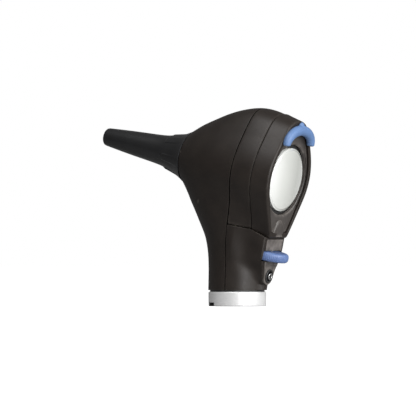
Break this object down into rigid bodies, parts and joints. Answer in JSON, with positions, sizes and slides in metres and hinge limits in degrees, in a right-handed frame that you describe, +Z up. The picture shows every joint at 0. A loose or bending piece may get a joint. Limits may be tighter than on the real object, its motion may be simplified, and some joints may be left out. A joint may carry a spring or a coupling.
{
  "type": "otoscope head",
  "caption": "Otoscope head with an ear speculum, tilted viewing lens, focus wheel, air port and a bayonet collar for a handle.",
  "frame": {"origin": "centre of the collar ring's bottom face, on the handle's axis", "axes": "+Z up the handle's axis, -X towards the ear speculum, +X towards the viewing lens, XZ is the plane of symmetry"},
  "size_m": [0.0987, 0.0392, 0.0855],
  "materials": {
    "casing": "satin moulded plastic, near-black brown",
    "panel": "satin moulded plastic, dark grey-brown",
    "black_plastic": "matt black plastic",
    "lens_glass": "clear coated glass",
    "lamp_glass": "clear glass",
    "seal_rubber": "black rubber",
    "blue_rubber": "soft mid-blue rubber",
    "blue_plastic": "fine-grained mid-blue plastic",
    "carriage_metal": "black anodised",
    "steel": "bright steel",
    "speculum_plastic": "semi-gloss black plastic",
    "seat_metal": "satin aluminium",
    "fibre": "bonded glass fibre",
    "lamp_metal": "turned aluminium",
    "brass": "nickel-free brass",
    "ring_metal": "bright satin metal"
  },
  "bodies": {
    "head": {"front_casing": "casing", "rear_neck_casing": "casing", "spine_plate": "panel", "port_plate": "panel", "focus_axle": "steel", "guide_rods": "steel", "front_rod_frame": "black_plastic", "rear_rod_frame": "black_plastic", "frame_screws": "steel", "speculum_seat": "seat_metal", "light_sleeve": "fibre", "fibre_bundle": "fibre", "nose_ring": "black_plastic", "lamp_housing": "lamp_metal", "collar_ring": "ring_metal", "collar_washer": "black_plastic", "port_bezel": "black_plastic", "port_nipple": "steel", "air_tube": "seal_rubber", "latch_spring": "steel"},
    "eyepiece": {"middle_band": "casing", "eyepiece_casing": "casing", "rear_panel": "panel", "thumb_pad": "panel", "lens_cell": "black_plastic", "lens_retainer": "black_plastic", "viewing_lens": "lens_glass", "lens_seal": "seal_rubber", "brow_rest": "blue_rubber"},
    "wheel": {"focus_wheel": "blue_plastic", "crank_pin": "steel"},
    "carriage": {"focus_carriage": "carriage_metal", "objective_lens": "lens_glass", "objective_clip": "carriage_metal"},
    "ear_speculum": {"speculum": "speculum_plastic"},
    "lamp": {"lamp_shell": "brass", "lamp_bulb": "lamp_glass", "lamp_filament": "steel", "lamp_insulator": "black_plastic", "lamp_contact": "brass"}
  },
  "joints": [
    {"name": "focus_turn", "type": "hinge", "parent": "head", "child": "wheel", "pos_m": [0.01651, 0, 0.02184], "axis": [0.2079, 0, 0.9781], "range_deg": [-30, 30]},
    {"name": "focus_slide", "type": "slide", "parent": "head", "child": "carriage", "axis": [0.9781, 0, -0.2079], "range_m": [-0.00136, 0.00136]},
    {"name": "speculum_release", "type": "slide", "parent": "head", "child": "ear_speculum", "axis": [-0.9781, 0, 0.2079], "range_m": [0, 0.03]},
    {"name": "eyepiece_release", "type": "slide", "parent": "head", "child": "eyepiece", "axis": [0.2079, 0, 0.9781], "range_m": [0, 0.055]},
    {"name": "lamp_release", "type": "slide", "parent": "head", "child": "lamp", "axis": [0, 0, -1], "range_m": [0, 0.03]}
  ],
  "couplings": [
    {"joint": "focus_turn", "follows": "focus_slide", "rad_per_m": 384.62}
  ]
}
